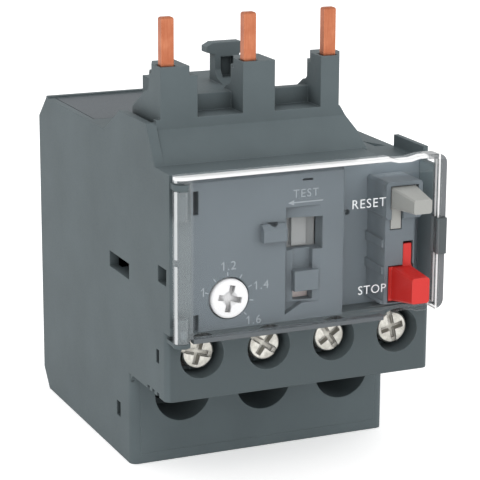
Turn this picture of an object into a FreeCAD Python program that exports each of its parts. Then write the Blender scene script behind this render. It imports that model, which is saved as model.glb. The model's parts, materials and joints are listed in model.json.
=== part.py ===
"""Three-pole thermal overload relay, 45 mm wide, built piece by piece.

Millimetres, +Z up, front towards -Y.  Most sizes are given as (x, depth, height): depth is counted
forwards from the flat back of the case, height from the face the relay stands on.
"""
import FreeCAD, Part
import math
import os

Vector = FreeCAD.Vector

# ---- case: driving sizes -------------------------------------------------------------------------
HALF = 22.5                # half of the 45 mm module width
WALL = 1.6                 # moulded wall
THIN = 0.8                 # thin front wall on the right
BASE_DEPTH = 43.75         # lower block, back to front
BACK_CHAMFER = 2.76        # depth of the lower rear chamfer
KNOB_FRONT = 69.3          # front of the reset knob, the most forward point
ORIGIN_D = KNOB_FRONT / 2  # depth of the origin, half-way between back and knob front
AUX_LOW = 15.3             # underside of the auxiliary block
AUX_TOP = 26.3             # ledge on top of the auxiliary block
AUX_DEPTH = 58.94          # auxiliary block front
RIM_DEPTH = 60.3           # front edges of the side walls
SHELF = 51.06              # shelf over the panel
RIGHT_TOP = 48.8           # lower roof on the right
ROOF = 52.7                # rear roof
SHOULDER = 57.4            # top of the shoulder under the towers
SHOULDER_FRONT = 51.3
SHOULDER_BACK = 39.4
SHELF_D = 54.5             # where the sloping front of the shoulder meets the shelf
RIDGE = 56.93              # left ridge
RIDGE_D = (32.7, 39.75, 51.05)
FIN_D = (47.0, 56.85)      # low fin on the right edge
FIN_TOP = 51.0
PLATFORM = 60.0
DECK_D = (28.3, 46.8)
HOOK_D = (36.1, 38.2)
HOOK_TOP = 66.2
TOWER_TOP = 65.3
TOWER_STEP = 63.8
TOWER_BACK = 44.0
DIVIDER = 36.0             # wall between the power chamber and the mechanism chamber
INNER = HALF - WALL
FILLET = 1.2

# ---- power path ----------------------------------------------------------------------------------
PIN_PITCH = (2 * HALF - 4.65) / 3
PIN_X = [-HALF + 4.8 + PIN_PITCH * i for i in range(3)]
BLADE_JOG = -1.0           # a blade stands this far beside its winding
BLADE_X = [x + BLADE_JOG for x in PIN_X]
HOOK_X = BLADE_X[1] + 1.55 # the latch stands behind the middle blade
SHOULDER_END = PIN_X[2] + 2.8   # right end of the rear roof
PIN_W = 2.0
BLADE_T = 1.4
PIN_FRONT = 50.5           # front of a blade
PIN_D = (PIN_FRONT - BLADE_T, PIN_FRONT)
PIN_TOP = 72.7
RUN_Z = (48.6, 49.8)       # horizontal run of a blade
BIMETAL_T = 0.8
BIMETAL_D = (18.0, 24.0)
BIMETAL_Z = (19.0, 45.9)
COIL_D = (16.6, 25.4)
COIL_Z = 24.0
COIL_TURNS = 6
COIL_PITCH = 2.6
LOAD_PITCH = (2 * HALF - 2.7) / 3
LOAD_X = [0.5 + LOAD_PITCH * (i - 1) for i in range(3)]
LOAD_Z = 11.2
LOAD_WELL_R = 4.8
LOAD_HEAD_R = 3.4
LOAD_WALL = 31.0           # front wall of a load terminal bay
LOAD_SEAT = 32.4           # seat of a load screw head, deep in its well
LOAD_HEAD_T = 2.4
LOAD_MOUTH = LOAD_SEAT + LOAD_HEAD_T + 0.2   # where the wide well ends and the screw pocket begins
LOAD_SHANK_R = 1.9
SCREW_FIT = 0.1            # radial play of a screw in its clamp
SHROUD_TOP = 17.0
CAGE_W = 4.9               # half width of a cage clamp
CAGE_T = 0.9               # its sheet
CAGE_D = (15.4, 29.9)
CAGE_Z = (6.2, 16.2)
TONGUE_D = 22.3            # busbar tongue inside the cage
RISER_D = 27.3
LEAD_T = 1.6
AUX_PITCH = (HALF - 0.3) / 2
AUX_X = [AUX_PITCH * (i - 1.5) for i in range(4)]
AUX_Z = 22.2
AUX_WELL_R = 3.6
AUX_HEAD_R = 2.62
AUX_HEAD_D = 57.3          # front of an auxiliary screw head
AUX_HEAD_T = 1.6
AUX_SHANK_R = 1.4

# ---- front ---------------------------------------------------------------------------------------
PANEL_LEFT = -HALF + 3.6
PANEL_RIGHT = HALF - 16.1
PANEL_D = 60.0
PANEL_T = 2.0
PANEL_TOP = 50.2
DIAL = (PANEL_LEFT + 6.15, 31.1)
DIAL_R = 3.05
DIAL_SHAFT_R = 1.6
TURN_FIT = 0.06            # radial running fit of turning parts
SLIDE_FIT = 0.15           # side play of sliding parts
FLOOR_D = 55.7             # recess floor beside the button column
GUIDE_BACK = 50.9          # back of the guides the buttons slide in
COLUMN_D = 61.7
COLUMN_X = (HALF - 9.8, HALF - 4.3)
COLUMN_LOW = 27.6
RESET_D = 62.2
RESET_BOX = (HALF - 10.0, HALF - 3.7, 41.2, 47.1)
KNOB_X = (HALF - 9.05, HALF - 4.55)
KNOB_Z = (42.95, 46.3)
FOOT_X = (HALF - 8.85, HALF - 7.1)
FOOT_LOW = 39.6
STOP_X = (HALF - 8.45, HALF - 4.9)
STOP_Z = (28.0, 33.45)
STEM_X = (HALF - 6.5, HALF - 5.05)
STEM_TOP = 37.3
STOP_FRONT = 68.2
PRESS = 2.0                # button travel
TEST_X = (-2.8, 2.8)
TEST_Z = (37.3, 42.4)
TEST_TRAVEL = 1.2
GRIP_W = 2.5
TEST_FRONT = 57.2          # face of the test key plate, deep in its window

# ---- cover ---------------------------------------------------------------------------------------
COVER_D = 63.0
COVER_WALL = 1.0
COVER_BACK = 60.45
COVER_Z = (26.3, 51.1)
HINGE = (-HALF + 1.4, 61.65)
BARREL_R = 1.32
PINTLE_R = 0.9             # fixed pins that enter the barrel from both ends
PINTLE_IN = 3.7            # how far a pin enters
LUG_LOW = (24.9, 25.5)
LUG_HIGH = (49.0, 49.9)
BARREL_Z = (LUG_LOW[1] + 0.1, LUG_HIGH[0] - 0.1)
CUT_X = (HALF - 10.5, HALF - 1.9)
CUT_Z = (27.4, 48.5)
TAB_X = HALF - 1.5
TAB_D = 61.0
TAB_Z = (35.3, 41.0)

# ---- mechanism -----------------------------------------------------------------------------------
TRIP_TRAVEL = 1.5
TRIP_BAR_Z = (42.4, 43.6)
RELEASE_BAR_Z = (44.0, 45.2)
BAR_D = (17.0, 24.7)
LEVER_AXIS = (0.6, 37.0)
ADJUST_AXIS = (-6.0, 43.2)
CAM_R = 3.0
CAM_OFFSET = 0.6
BRIDGE_Z = 28.6
BRIDGE_FRONT = 41.4        # tips of the open contact bridge
CONTACT_GAP = 1.2


# ---- drawing helpers -----------------------------------------------------------------------------
def at(x, depth, z):
    """Point from side position, depth in front of the back, and height."""
    return Vector(x, ORIGIN_D - depth, z)


def block(x0, x1, d0, d1, z0, z1):
    return Part.makeBox(x1 - x0, d1 - d0, z1 - z0, at(x0, d1, z0))


def face_of(points):
    return Part.Face(Part.makePolygon(points + points[:1]))


def side_prism(x0, x1, outline):
    """Outline of (depth, height) pairs drawn across the width."""
    return face_of([at(x0, d, z) for d, z in outline]).extrude(Vector(x1 - x0, 0, 0))


def front_prism(d0, d1, outline):
    """Outline of (x, height) pairs drawn forwards."""
    return face_of([at(x, d0, z) for x, z in outline]).extrude(Vector(0, d0 - d1, 0))


def plan_prism(z0, z1, outline):
    """Outline of (x, depth) pairs drawn upwards."""
    return face_of([at(x, d, z0) for x, d in outline]).extrude(Vector(0, 0, z1 - z0))


def rod_front(x, z, radius, d0, d1):
    return Part.makeCylinder(radius, d1 - d0, at(x, d1, z), Vector(0, 1, 0))


def rod_up(x, depth, radius, z0, z1):
    return Part.makeCylinder(radius, z1 - z0, at(x, depth, z0), Vector(0, 0, 1))


def rod_across(depth, z, radius, x0, x1):
    return Part.makeCylinder(radius, x1 - x0, at(x0, depth, z), Vector(1, 0, 0))


def joined(parts):
    return parts[0].multiFuse(parts[1:]).removeSplitter()


def less(shape, tools):
    return shape.cut(Part.makeCompound(tools))


def round_edges(shape, radius, test):
    """Round the straight edges for which test(edge) is true."""
    return shape.makeFillet(radius, [edge for edge in shape.Edges if test(edge)])


def upright_at(x, depth):
    """Test for an upright edge standing at one plan position."""
    spot = at(x, depth, 0)

    def test(edge):
        ends = [v.Point for v in edge.Vertexes]
        return len(ends) == 2 and all(abs(p.x - spot.x) + abs(p.y - spot.y) < 0.01 for p in ends)
    return test


def frame_rect(d, x0, x1, z0, z1, cut):
    """Rectangle wire with cut corners, standing at one depth."""
    corners = [(x0 + cut, z0), (x1 - cut, z0), (x1, z0 + cut), (x1, z1 - cut),
               (x1 - cut, z1), (x0 + cut, z1), (x0, z1 - cut), (x0, z0 + cut)]
    return Part.makePolygon([at(x, d, z) for x, z in corners + corners[:1]])


def cove(x0, x1, depth, z, radius):
    """Hollow fillet that runs across the width, in the corner behind a wall and over a floor."""
    corner = block(x0, x1, depth - radius, depth, z, z + radius)
    return corner.cut(rod_across(depth - radius, z + radius, radius, x0 - 1, x1 + 1))


def coil(x, z, radius, wire, d0, d1, turns, steps=8, sides=5):
    """Open coil spring along the depth axis, its wire drawn with flat sides."""
    rings = []
    for step in range(turns * steps + 1):
        angle = 2 * math.pi * step / steps
        middle = d0 + wire / 2 + (d1 - d0 - wire) * step / (turns * steps)
        ring = []
        for side in range(sides):
            turn = 2 * math.pi * (side + 0.5) / sides
            out = radius + wire / 2 * math.cos(turn)
            depth = middle + wire / 2 * math.sin(turn)
            ring.append(at(x + out * math.cos(angle), depth, z + out * math.sin(angle)))
        rings.append(ring)
    faces = [face_of(rings[0]), face_of(rings[-1])]
    for ring, after in zip(rings, rings[1:]):
        for side in range(sides):
            other = (side + 1) % sides
            faces.append(face_of([ring[side], ring[other], after[side]]))
            faces.append(face_of([ring[other], after[other], after[side]]))
    return Part.Solid(Part.Shell(faces))


# ---- case ----------------------------------------------------------------------------------------
def case_outside():
    """Outer form: lower block, auxiliary block, upper body, stepped roof and ridge."""
    lower = side_prism(-HALF, HALF, [(0, 3.34), (BACK_CHAMFER, 0), (BASE_DEPTH, 0),
                                     (BASE_DEPTH, AUX_LOW), (0, AUX_LOW)])
    for side in (-HALF, HALF):
        lower = round_edges(lower, FILLET, upright_at(side, BASE_DEPTH))
    aux = block(-HALF, HALF, 0, AUX_DEPTH, AUX_LOW, AUX_TOP)
    for side in (-HALF, HALF):
        aux = round_edges(aux, FILLET, upright_at(side, AUX_DEPTH))
    upper = side_prism(-HALF, HALF, [(0, AUX_TOP), (RIM_DEPTH, AUX_TOP), (RIM_DEPTH, RIGHT_TOP),
                                     (1.9, RIGHT_TOP), (0, 46.9)])
    roof = side_prism(-HALF, SHOULDER_END, [(0, 46.9), (0, 48.86), (4.1, ROOF), (46.0, ROOF),
                                            (SHELF_D, SHELF), (RIM_DEPTH, SHELF), (RIM_DEPTH, 47.0)])
    rear_rib = block(-HALF, SHOULDER_END, 4.1, 5.1, ROOF - 0.5, ROOF + 0.3)
    ridge = side_prism(-HALF, -HALF + WALL, [(RIDGE_D[0], ROOF), (RIDGE_D[1], RIDGE), (RIDGE_D[2], RIDGE),
                                             (SHELF_D, SHELF), (RIDGE_D[0], SHELF)])
    fin = block(HALF - THIN, HALF, FIN_D[0], FIN_D[1], RIGHT_TOP, FIN_TOP)
    return joined([lower, aux, upper, roof, rear_rib, ridge, fin, shoulder(), platform(), hook()] + towers())


def shoulder():
    """Raised front of the roof that carries the towers, cut away on a slope at its right end."""
    body = side_prism(-HALF + WALL, SHOULDER_END + 2.0,
                      [(SHOULDER_BACK, RIGHT_TOP), (SHOULDER_BACK, SHOULDER), (SHOULDER_FRONT, SHOULDER),
                       (SHOULDER_FRONT, SHOULDER - WALL), (SHELF_D, SHELF), (SHELF_D, RIGHT_TOP)])
    outside = front_prism(SHOULDER_BACK - 1, SHELF_D + 1,
                          [(SHOULDER_END - 2.6, SHOULDER + 0.6), (SHOULDER_END + 0.1, SHOULDER - 3.9),
                           (SHOULDER_END + 1.6, RIGHT_TOP), (SHOULDER_END + 8, RIGHT_TOP),
                           (SHOULDER_END + 8, SHOULDER + 0.6)])
    return body.cut(outside)


def platform():
    """Raised deck behind the first slot and the thin bar behind the second one."""
    deck = block(BLADE_X[0] + 4.5, BLADE_X[1] + 4.85, DECK_D[0], DECK_D[1], ROOF - 1, PLATFORM)
    bar = block(BLADE_X[1] + 4.25, BLADE_X[2] - 0.2, DECK_D[1] - WALL, DECK_D[1], ROOF - 1, PLATFORM)
    return deck.fuse(bar)


def hook():
    """Fixed T-shaped latch that holds the relay under its contactor; its stem is a channel."""
    back, front = HOOK_D
    neck = HOOK_TOP - 1.9
    head = [(-3.5, -1.5), (-3.5, -0.6), (-2.4, 0), (2.4, 0),
            (3.5, -0.6), (3.5, -1.5), (2.1, -1.9), (-2.1, -1.9)]
    body = front_prism(back, front, [(HOOK_X + x, HOOK_TOP + z) for x, z in head])
    stem = side_prism(HOOK_X - 2.1, HOOK_X + 2.1,
                      [(back, PLATFORM - 1), (back, neck + 0.1), (front, neck + 0.1), (front, PLATFORM + 1.9),
                       (front + 0.8, PLATFORM + 0.8), (front + 3.6, PLATFORM), (front + 3.6, PLATFORM - 1)])
    channel = block(HOOK_X - 1.1, HOOK_X + 1.1, back + 0.9, front + 4, PLATFORM + 0.7, neck - 0.4)
    return body.fuse(stem).cut(channel)


def towers():
    """Blade towers: flat front, shaved left rear corner, small step near the top, swept foot behind."""
    shapes = []
    spans = [(-1.5, 3.2, 4.5, 0.0), (-1.45, 3.85, 3.85, 0.0), (-1.8, 3.1, 3.1, 1.75)]
    for x, (reach_left, reach_top, reach_low, bevel) in zip(BLADE_X, spans):
        left = x + reach_left
        right_top = x + reach_top
        right_low = x + reach_low
        rows = ((SHOULDER - 1, TOWER_STEP, right_low, TOWER_BACK),
                (TOWER_STEP, TOWER_TOP, right_top, TOWER_BACK + 1))
        for z0, z1, right, back in rows:
            outline = [(left, SHOULDER_FRONT), (right - bevel, SHOULDER_FRONT), (right, back),
                       (left + 1.1, back), (left, back + 2.6)]
            if bevel:
                outline.insert(2, (right, SHOULDER_FRONT - 2 * bevel))
            shapes.append(plan_prism(z0, z1, outline))
        corner = TOWER_BACK + 2.6
        sweep = PLATFORM + 0.8
        shapes.append(side_prism(left, right_low, [(SHOULDER_BACK, SHOULDER - 1), (SHOULDER_BACK, SHOULDER),
                                                   (corner - 1.7, sweep), (corner, sweep),
                                                   (corner, SHOULDER - 1)]))
        shapes.append(cove(left, right_low, corner, sweep, 1.6))
    return shapes


def power_chamber():
    """Space behind the divider: three terminal bays below, one open room above."""
    tools = [block(-INNER, INNER, -1, DIVIDER, 18.0, 46.2),
             block(-INNER, INNER, WALL, DIVIDER, 40.0, RIGHT_TOP - WALL),
             block(-INNER, SHOULDER_END - THIN, 4.6, DIVIDER, 40.0, ROOF - WALL)]
    for x in LOAD_X:
        tools.append(block(x - 6.2, x + 6.2, 3.6, LOAD_WALL, WALL, 18.5))
        tools.append(block(x - 6.2, x + 6.2, -1, LOAD_WALL, 4.6, 18.5))
        tools.append(block(x - 4.2, x + 4.2, 17.0, 26.0, -1, WALL + 1))
    tools.append(block(-INNER, INNER, LOAD_WALL - 0.1, BASE_DEPTH + 1, WALL, AUX_LOW - 0.1))
    tools.append(block(-INNER, INNER, LOAD_WALL - 0.1, BASE_DEPTH, WALL, SHROUD_TOP))
    return tools


def mechanism_chamber():
    """Space in front of the divider, open towards the panel."""
    start = DIVIDER + WALL
    slope = SHELF_D - 1.9
    tools = [block(PANEL_LEFT - 0.1, HALF - THIN, FLOOR_D - 1.5, RIM_DEPTH + 1, AUX_TOP, RIGHT_TOP + 1),
             block(PANEL_LEFT - 0.1, SHOULDER_END - 0.4, FLOOR_D - 1.5, RIM_DEPTH + 1, 40.0, PANEL_TOP),
             block(PANEL_LEFT - 0.1, INNER, start, FLOOR_D, AUX_TOP - 0.1, RIGHT_TOP - WALL),
             side_prism(PANEL_LEFT - 0.1, SHOULDER_END - THIN,
                        [(start, 45.0), (start, ROOF - WALL), (slope - 0.5, ROOF - WALL), (slope, PANEL_TOP),
                         (FLOOR_D, PANEL_TOP), (FLOOR_D, 45.0)]),
             side_prism(PANEL_LEFT - 0.1, SHOULDER_END - 3.4,
                        [(45.0, PANEL_TOP), (45.0, SHOULDER - WALL), (SHOULDER_FRONT - WALL, SHOULDER - WALL),
                         (slope, PANEL_TOP)])]
    run = PIN_W / 2
    for x in PIN_X:
        tools.append(block(x - run, x + run, DIVIDER - 1, start + 1, RUN_Z[0], RUN_Z[1]))
    tools.append(block(2.8, 8.0, DIVIDER - 1, start + 1, TRIP_BAR_Z[0] - 0.3, TRIP_BAR_Z[1] + 0.3))
    return tools


def aux_bays():
    """Auxiliary terminals: round screw well in front, bay behind, cable entry below."""
    tools = []
    for x in AUX_X:
        tools.append(rod_front(x, AUX_Z, AUX_WELL_R, 54.2, AUX_DEPTH + 1))
        tools.append(block(x - 4.4, x + 4.4, 46.0, FLOOR_D - 1.5, 17.0, AUX_TOP + 0.1))
        tools.append(block(x - 2.7, x + 2.7, 47.2, 52.6, AUX_LOW - 1, 18.0))
    return tools


def blade_slots():
    """Tight slot for every blade and its foot, and a shallow pocket round each blade at the top."""
    tools = []
    half = PIN_W / 2
    for x in BLADE_X:
        tools.append(block(x - half, x + half, PIN_D[0], PIN_D[1], RUN_Z[0], PIN_TOP))
        tools.append(block(x - half - 0.25, x + half + 0.25, PIN_D[0] - 0.7, PIN_D[1] + 0.4, TOWER_TOP - 1.2,
                           TOWER_TOP + 1))
    for number in range(3):
        tools.append(blade_foot(number))
    return tools


def side_details():
    """Small windows, notches, groove and label bed on the left side and roof."""
    left = -HALF - 1
    edge = -HALF + 1.2
    tools = [side_prism(left, -HALF + 3.0, [(34.6, 30.7), (43.4, 30.7), (43.4, 33.3), (34.6, 33.3)]),
             side_prism(left, PANEL_LEFT, [(55.65, 33.7), (59.07, 33.7), (59.07, 36.3), (55.65, 36.3)]),
             block(left, -HALF + 1.1, 54.8, 55.95, 20.7, 22.85),
             block(left, -HALF + 1.1, 37.2, 38.9, 6.5, 9.0),
             block(edge, edge + 1.1, SHOULDER_BACK - 1, SHOULDER_FRONT - 1.1, SHOULDER - 2, SHOULDER + 1),
             block(-HALF + 1.1, SHOULDER_END - 2.0, 5.5, 25.0, ROOF - 0.25, ROOF + 1)]
    for step in range(3):
        start = AUX_DEPTH - 8.0 + 2.0 * step
        tools.append(block(left, -HALF + 1.0, start, start + 1.0, AUX_LOW - 1, AUX_LOW + 0.6))
    tools.append(plan_prism(RIGHT_TOP - 1.2, RIGHT_TOP + 1,
                            [(HALF - 3.1, 40.4), (HALF - 3.0, 44.8), (HALF - 1.1, 44.9)]))
    return tools


def case_inside_pieces():
    """Inner pieces moulded on to the case: lever posts, button guides and the cove under the block."""
    start = DIVIDER + WALL
    pieces = [rod_front(LEVER_AXIS[0], LEVER_AXIS[1], 1.0, start - 0.1, 49.0),
              rod_front(ADJUST_AXIS[0], ADJUST_AXIS[1], 1.0, start - 0.1, 51.5),
              block(-HALF, -HALF + 2.4, BASE_DEPTH, BASE_DEPTH + 1.3, AUX_LOW - 1.3, AUX_LOW)]
    pieces[2] = pieces[2].cut(rod_across(BASE_DEPTH + 1.3, AUX_LOW - 1.3, 1.3, -HALF - 1, -HALF + 3))
    return pieces


def bridge_guides():
    """Guide holes for the stems of the two contact bridges."""
    return [rod_front(x, BRIDGE_Z, 1.0 + TURN_FIT, DIVIDER - 1, DIVIDER + WALL + 1) for x in bridge_middles()]


def case_shell():
    body = case_outside()
    body = less(body, power_chamber() + mechanism_chamber() + aux_bays())
    body = joined([body] + case_inside_pieces() + hinge_lugs())
    return less(body, blade_slots() + side_details() + bridge_guides())


def hinge_lugs():
    """Two lugs on the left front edge, each with a pin that enters one end of the cover's barrel."""
    x, depth = HINGE
    shapes = []
    for (z0, z1), wall in ((LUG_LOW, AUX_DEPTH), (LUG_HIGH, RIM_DEPTH)):
        shapes.append(rod_up(x, depth, BARREL_R, z0, z1))
        shapes.append(block(x - 1.2, x + 1.2, wall - 0.4, depth, z0, z1))
    shapes.append(rod_up(x, depth, PINTLE_R, LUG_LOW[1] - 0.1, LUG_LOW[1] + PINTLE_IN))
    shapes.append(rod_up(x, depth, PINTLE_R, LUG_HIGH[0] - PINTLE_IN - 1, LUG_HIGH[0] + 0.1))
    return shapes


def load_shroud():
    """Front of the load terminals between the side walls: three deep screw wells."""
    body = block(-INNER, INNER, LOAD_WALL, BASE_DEPTH, WALL, AUX_LOW - 0.1)
    body = body.fuse(block(-INNER, INNER, LOAD_WALL, BASE_DEPTH, WALL, SHROUD_TOP)).removeSplitter()
    tools = []
    for x in LOAD_X:
        tools.append(rod_front(x, LOAD_Z, LOAD_WELL_R, LOAD_MOUTH, BASE_DEPTH + 1))
        tools.append(rod_front(x, LOAD_Z, LOAD_HEAD_R + 0.5, LOAD_SEAT, LOAD_MOUTH + 1))
        tools.append(rod_front(x, LOAD_Z, LOAD_HEAD_R - 0.6, LOAD_WALL - 1, LOAD_SEAT + 1))
    return less(body, tools)


def back_plate():
    """Rear closing plate with two grooved brackets that guide the differential slides."""
    plate = block(-INNER, INNER, 0, WALL, 18.0, 46.2)
    feet = [block(x - 6.2, x + 6.2, 0, WALL, 4.6, 18.0) for x in LOAD_X]
    shapes = [plate] + feet
    for x0 in (-11.9, 1.9):
        arm = side_prism(x0, x0 + 3.0, [(WALL, 40.0), (WALL, 46.1), (15.6, 46.1), (21.0, 46.1),
                                        (21.0, 41.0), (6.0, 41.0), (4.0, 40.0)])
        shapes.append(arm.cut(block(x0 - 1, x0 + 4, BAR_D[0] - 0.3, 22.0,
                                    TRIP_BAR_Z[0] - 0.1, RELEASE_BAR_Z[1] + 0.1)))
    return joined(shapes)


def top_label():
    """Plain marker plate lying in its bed on the roof."""
    return block(-HALF + 1.3, SHOULDER_END - 2.2, 5.7, 24.8, ROOF - 0.25, ROOF - 0.02)


# ---- front mouldings -----------------------------------------------------------------------------
def front_panel():
    """Fascia with dial bed, seal eye, test window in a sloped relief, channel and flag window."""
    back = PANEL_D - PANEL_T
    plate = side_prism(PANEL_LEFT, PANEL_RIGHT, [(back, AUX_TOP), (PANEL_D, AUX_TOP), (PANEL_D, 49.3),
                                                 (PANEL_D - 0.9, PANEL_TOP), (back, PANEL_TOP)])
    wall = block(PANEL_RIGHT - 1.2, PANEL_RIGHT, FLOOR_D - 1.5, back, AUX_TOP, PANEL_TOP)
    eye = side_prism(-7.6, -3.7, [(back, 39.4), (PANEL_D + 1.3, 39.4), (PANEL_D + 1.3, 41.2),
                                  (PANEL_D + 0.6, 42.1), (back, 42.1)])
    collar = block(TEST_X[0] - 1.0, TEST_X[1] + 1.0, TEST_FRONT + 0.2, back, TEST_Z[0] - 1.0, TEST_Z[1] + 1.0)
    body = joined([plate, wall, eye, collar])
    relief = plan_prism(29.0, 44.2, [(-3.4, PANEL_D + 0.1), (-3.4, PANEL_D - 1.1), (3.0, PANEL_D + 0.1)])
    relief = relief.cut(eye)
    tools = [relief,
             front_prism(PANEL_D - 1.1, PANEL_D + 1, [(-3.4, 27.4), (-3.4, 29.05), (-0.4, 29.05)]),
             rod_up(-5.65, PANEL_D + 0.1, 0.8, 39.3, 42.2),
             rod_front(DIAL[0], DIAL[1], DIAL_R + 0.25, PANEL_D - 1.1, PANEL_D + 1),
             rod_front(DIAL[0], DIAL[1], DIAL_SHAFT_R + TURN_FIT, back - 1, PANEL_D),
             block(TEST_X[0], TEST_X[1], TEST_FRONT, PANEL_D + 1, TEST_Z[0], TEST_Z[1]),
             block(-1.8, 1.25, PANEL_D - 1.4, PANEL_D + 1, 34.2, TEST_Z[0] + 0.1),
             block(-1.8, 1.25, back - 1, PANEL_D + 1, 29.4, 30.9),
             block(PANEL_LEFT + 0.3, PANEL_LEFT + 1.2, back - 1, PANEL_D + 1, 44.5, 48.1),
             block(PANEL_LEFT + 0.3, PANEL_LEFT + 1.2, PANEL_D - 1.2, PANEL_D + 1, 26.2, 29.0),
             block(-0.6, 1.05, PANEL_D - 0.9, PANEL_D + 1, 48.2, 48.5)]
    body = less(body, tools)
    plaque = block(-2.0, 2.0, PANEL_D - 1.6, PANEL_D + 0.5, 31.0, 34.2)
    return body.fuse(plaque).removeSplitter()


def button_housing():
    """Recess floor with the ribbed button column, reset box and the slots the buttons slide in."""
    floor = block(PANEL_RIGHT, HALF - THIN, FLOOR_D - 1.5, FLOOR_D, AUX_TOP, RIGHT_TOP)
    column = block(COLUMN_X[0], COLUMN_X[1], FLOOR_D - 0.1, COLUMN_D, COLUMN_LOW, RESET_BOX[2] + 0.1)
    column = round_edges(column, 0.8, upright_at(COLUMN_X[1], COLUMN_D))
    box = block(RESET_BOX[0], RESET_BOX[1], FLOOR_D - 0.1, RESET_D, RESET_BOX[2], RESET_BOX[3])
    box = box.makeChamfer(0.4, [e for e in box.Edges if abs(e.tangentAt(e.FirstParameter).y) > 0.9])
    ribs = []
    for z in (28.2, 33.6, 37.9):
        low = max(z - 1.2, COLUMN_LOW)
        front = COLUMN_D - 0.4
        ribs.append(side_prism(COLUMN_X[0] - 0.35, COLUMN_X[0] + 0.1,
                               [(FLOOR_D, low), (front, low), (front, z), (FLOOR_D, z + 0.25)]))
    guides = block(COLUMN_X[0], COLUMN_X[1], 50.0, FLOOR_D - 1.4, COLUMN_LOW, RESET_BOX[3] - 0.4)
    body = joined([floor, column, box, guides] + ribs)
    play = SLIDE_FIT
    tools = [block(KNOB_X[0] - play, KNOB_X[1] + play, GUIDE_BACK, RESET_D + 1,
                   KNOB_Z[0] - play, KNOB_Z[1] + play),
             block(FOOT_X[0] - play, FOOT_X[1] + play, GUIDE_BACK, RESET_D + 1, FOOT_LOW - play, KNOB_Z[0]),
             block(STOP_X[0] - 0.7, STOP_X[1] + 0.25, COLUMN_D - 1.0 - PRESS, COLUMN_D + 1,
                   STOP_Z[0] - 0.25, STOP_Z[1] + 0.25),
             block(STOP_X[0] - play, STOP_X[1] + play, GUIDE_BACK, COLUMN_D,
                   STOP_Z[0] + 1.0 - play, STOP_Z[1] - 1.0 + play),
             block(STEM_X[0] - play, STEM_X[1] + play, COLUMN_D - 1.0 - PRESS, COLUMN_D + 1,
                   STOP_Z[1], STEM_TOP + play),
             rod_front(spring_spot(0)[0], spring_spot(0)[1], 1.0 + play, 49.0, 52.0),
             rod_front(spring_spot(1)[0], spring_spot(1)[1], 1.0 + play, 49.0, 52.0),
             rod_front(9.1, 41.4, 0.45, FLOOR_D - 0.8, FLOOR_D + 1)]
    return less(body, tools)


def spring_spot(which):
    """Middle line of the reset (0) and stop (1) return springs."""
    if which == 0:
        return ((KNOB_X[0] + KNOB_X[1]) / 2, (KNOB_Z[0] + KNOB_Z[1]) / 2)
    return ((STOP_X[0] + STOP_X[1]) / 2, (STOP_Z[0] + STOP_Z[1]) / 2)


def loft(wires):
    return Part.makeLoft(wires, True, True)


def reset_button():
    """Wedge-shaped knob with its foot in the column slot and a stem for the spring."""
    x0, x1 = KNOB_X
    z0, z1 = KNOB_Z
    nose = loft([frame_rect(RESET_D - 0.6, x0, x1, z0, z1, 0.25),
                 frame_rect(KNOB_FRONT, x0 + 0.05, x1 - 1.4, z0 + 0.65, z1 - 0.5, 0.25)])
    body = block(x0, x1, 54.6, RESET_D - 0.5, z0, z1)
    foot = block(FOOT_X[0], FOOT_X[1], 56.0, COLUMN_D, FOOT_LOW, z0 + 0.2)
    spot = spring_spot(0)
    stem = rod_front(spot[0], spot[1], 1.0, 48.2, 54.7)
    return joined([nose, body, foot, stem])


def stop_button():
    """Tapered red button with a rear flange, an upright stem bar and a spring stem."""
    x0, x1 = STOP_X
    z0, z1 = STOP_Z
    nose = loft([frame_rect(COLUMN_D - 0.3, x0, x1, z0, z1, 0.3),
                 frame_rect(STOP_FRONT, x0 + 0.05, x1 - 0.5, z0 + 1.2, z1 - 0.2, 0.3)])
    flange = block(x0 - 0.45, x1, COLUMN_D - 0.9, COLUMN_D - 0.2, z0, z1)
    body = block(x0, x1, 54.6, COLUMN_D - 0.8, z0 + 1.0, z1 - 1.0)
    bar = block(STEM_X[0], STEM_X[1], COLUMN_D - 0.9, COLUMN_D - 0.2, z1 - 0.5, STEM_TOP - 0.3)
    spot = spring_spot(1)
    stem = rod_front(spot[0], spot[1], 1.0, 48.2, 54.7)
    return joined([nose, flange, body, bar, stem])


def button_spring(which):
    spot = spring_spot(which)
    return coil(spot[0], spot[1], 1.4, 0.34, 51.0, 54.55, 4)


def setting_dial():
    """White dial: disc with a cross recess, shaft and cam seat."""
    x, z = DIAL
    disc = rod_front(x, z, DIAL_R, PANEL_D - 1.0, PANEL_D + 0.3)
    crown = Part.makeCone(DIAL_R, DIAL_R - 0.2, 0.2, at(x, PANEL_D + 0.3, z), Vector(0, -1, 0))
    shaft = rod_front(x, z, DIAL_SHAFT_R, 46.4, PANEL_D - 0.9)
    body = joined([disc, crown, shaft])
    slots = [block(x - 1.9, x + 1.9, PANEL_D - 0.5, PANEL_D + 1, z - 0.45, z + 0.45),
             block(x - 0.45, x + 0.45, PANEL_D - 0.5, PANEL_D + 1, z - 2.1, z + 2.1),
             Part.makeCone(0.5, 1.3, 1.1, at(x, PANEL_D - 0.5, z), Vector(0, -1, 0))]
    tilt = 12.0
    for slot in slots:
        slot.rotate(at(x, 0, z), Vector(0, 1, 0), tilt)
    return less(body, slots).removeSplitter()


def dial_cam():
    """Eccentric disc with a locating collar, carried on the dial shaft."""
    x, z = DIAL
    disc = rod_front(x, z + CAM_OFFSET, CAM_R, 48.6, 50.6)
    collar = rod_front(x, z, DIAL_SHAFT_R + 0.9, 50.6, 57.8)
    return disc.fuse(collar).cut(rod_front(x, z, DIAL_SHAFT_R, 48.0, 58.0)).removeSplitter()


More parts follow.
